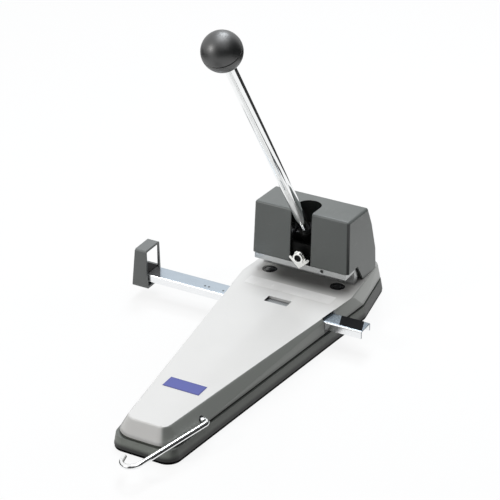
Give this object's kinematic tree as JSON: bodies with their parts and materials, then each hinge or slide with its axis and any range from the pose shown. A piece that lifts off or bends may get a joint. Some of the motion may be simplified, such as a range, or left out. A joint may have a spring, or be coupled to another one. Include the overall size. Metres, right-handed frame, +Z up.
{
  "type": "two-hole punch",
  "caption": "Heavy desk punch with a long forward lever driving twin tubular blades through racks, a sliding paper stop and a wire hook that holds the lever down.",
  "frame": {"origin": "on the table plane under the middle of the row of holes", "axes": "+X to the right of someone in front of the lever, +Y towards the head's rear, +Z up"},
  "size_m": [0.2685, 0.453, 0.3729],
  "materials": {
    "rubber": "matt",
    "band_paint": "satin",
    "light_paint": "satin",
    "head_plastic": "fine grain",
    "blue_plate": "gloss",
    "white_label": "matt",
    "disc_plastic": "gloss",
    "grey_steel": "satin",
    "steel": "satin",
    "bright_steel": "ground",
    "zinc": "zinc plated",
    "nickel": "nickel plated",
    "chrome": "polished",
    "black_iron": "blackened",
    "bronze": "plain",
    "knob_plastic": "satin",
    "stop_plastic": "satin",
    "black_plastic": "matt"
  },
  "bodies": {
    "base": {"rubber_mat": "rubber", "base_plate": "band_paint", "joint_strip": "rubber", "base_cover": "light_paint", "front_plate": "blue_plate", "paper_label": "white_label", "anvil_bar": "grey_steel", "disc_left": "disc_plastic", "disc_right": "disc_plastic", "guide_channel": "zinc", "bar_spring": "steel", "cover_screws": "steel", "head_screws": "steel", "anvil_screws": "steel", "channel_screws": "steel", "hook_bush": "steel", "head_frame": "grey_steel", "frame_bolts": "steel", "head_cover": "head_plastic", "bearing_plate_left": "steel", "bearing_plate_right": "steel", "bearing_screws": "steel", "shaft_bush_left": "bronze", "shaft_bush_right": "bronze", "guide_posts": "steel", "blade_bush_left": "bright_steel", "blade_bush_right": "bright_steel", "stop_bracket": "nickel", "lever_stop": "nickel", "stop_screw": "nickel", "stop_nut": "nickel"},
    "lever": {"lever_shaft": "steel", "lever_hub": "black_iron", "hub_pins": "steel", "pinion_left": "steel", "pinion_right": "steel", "shaft_spacers": "bronze", "shaft_rings": "steel", "lever_rod": "chrome", "knob_ball": "knob_plastic", "knob_cap": "knob_plastic"},
    "carriage": {"carriage_bar": "black_iron", "rack_left": "steel", "rack_right": "steel", "rack_screws": "steel", "blade_left": "bright_steel", "blade_right": "bright_steel", "blade_screws": "steel"},
    "guide": {"guide_bar": "zinc", "paper_stop": "stop_plastic", "stop_block": "black_plastic", "bar_end_cap": "black_plastic"},
    "hook": {"lever_hook": "chrome", "hook_clip": "steel"},
    "drawer": {"chip_drawer": "head_plastic"}
  },
  "joints": [
    {"name": "lever_swing", "type": "hinge", "parent": "base", "child": "lever", "pos_m": [0, 0.015, 0.074], "axis": [1, 0, 0], "range_deg": [-33, 50]},
    {"name": "carriage_slide", "type": "slide", "parent": "base", "child": "carriage", "axis": [0, 0, -1], "range_m": [-0.0061, 0.0092]},
    {"name": "guide_slide", "type": "slide", "parent": "base", "child": "guide", "axis": [1, 0, 0], "range_m": [-0.02, 0.045]},
    {"name": "hook_swing", "type": "hinge", "parent": "base", "child": "hook", "pos_m": [0.0338, -0.2745, 0.022], "axis": [-0.9925, 0, -0.1219], "range_deg": [0, 92]},
    {"name": "drawer_slide", "type": "slide", "parent": "base", "child": "drawer", "axis": [0, 1, 0], "range_m": [0, 0.04]}
  ],
  "couplings": [
    {"joint": "carriage_slide", "follows": "lever_swing", "m_per_rad": 0.0105}
  ]
}
